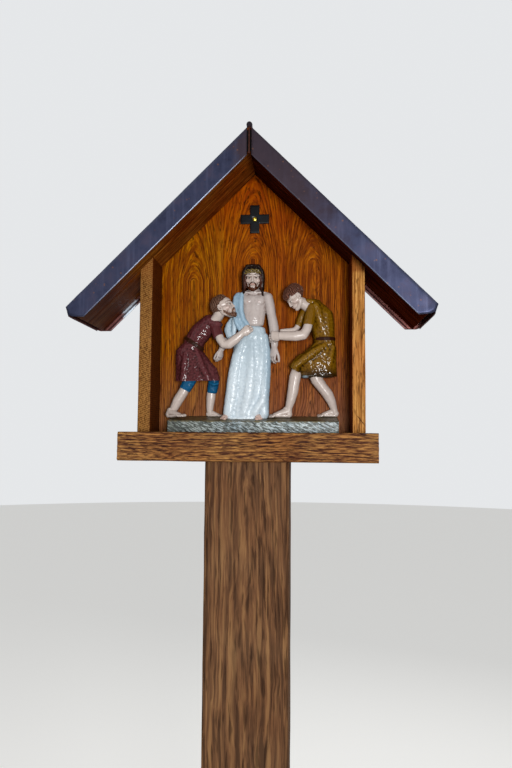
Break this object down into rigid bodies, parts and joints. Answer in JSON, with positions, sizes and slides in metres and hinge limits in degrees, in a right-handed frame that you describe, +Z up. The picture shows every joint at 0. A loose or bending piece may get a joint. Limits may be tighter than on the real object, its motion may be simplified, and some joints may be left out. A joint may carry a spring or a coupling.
{
  "type": "wayside shrine",
  "caption": "Oak wayside shrine: an open box on a square post under a gabled copper roof, with a small black cross and a painted carving of robed figures inside.",
  "frame": {"origin": "middle of the post's foot, on the ground", "axes": "+Z up along the post; the open front faces -Y; +X to the right of someone who faces the shrine"},
  "size_m": [0.6288, 0.169, 2.0814],
  "materials": {
    "post_oak": "weathered grey oak",
    "shelf_oak": "worn oak with dark cracks along the grain",
    "wall_oak": "oiled oak",
    "back_oak": "oiled oak, satin",
    "roof_oak": "oiled oak",
    "copper": "dark patinated copper sheet, satin",
    "black_paint": "glossy black paint on wood",
    "brass": "polished brass",
    "painted_ground": "grey-green paint over chisel marks",
    "painted_figure": "varnished paint on carved wood",
    "dark_wood": "dark brown paint with gilded glints"
  },
  "bodies": {
    "root": {"post": "post_oak", "shelf": "shelf_oak", "wall_left": "wall_oak", "wall_right": "wall_oak", "back_board_left": "back_oak", "back_board_middle": "back_oak", "back_board_right": "back_oak", "roof_board_left_front": "roof_oak", "roof_board_left_back": "roof_oak", "roof_board_right_front": "roof_oak", "roof_board_right_back": "roof_oak", "copper_left": "copper", "copper_right": "copper", "apex_seam": "copper", "ridge_roll": "copper", "gable_cross": "black_paint", "cross_screw": "brass", "carved_ground": "painted_ground", "central_figure": "painted_figure", "left_figure": "painted_figure", "right_figure": "painted_figure", "thorn_crown": "dark_wood"}
  },
  "joints": []
}
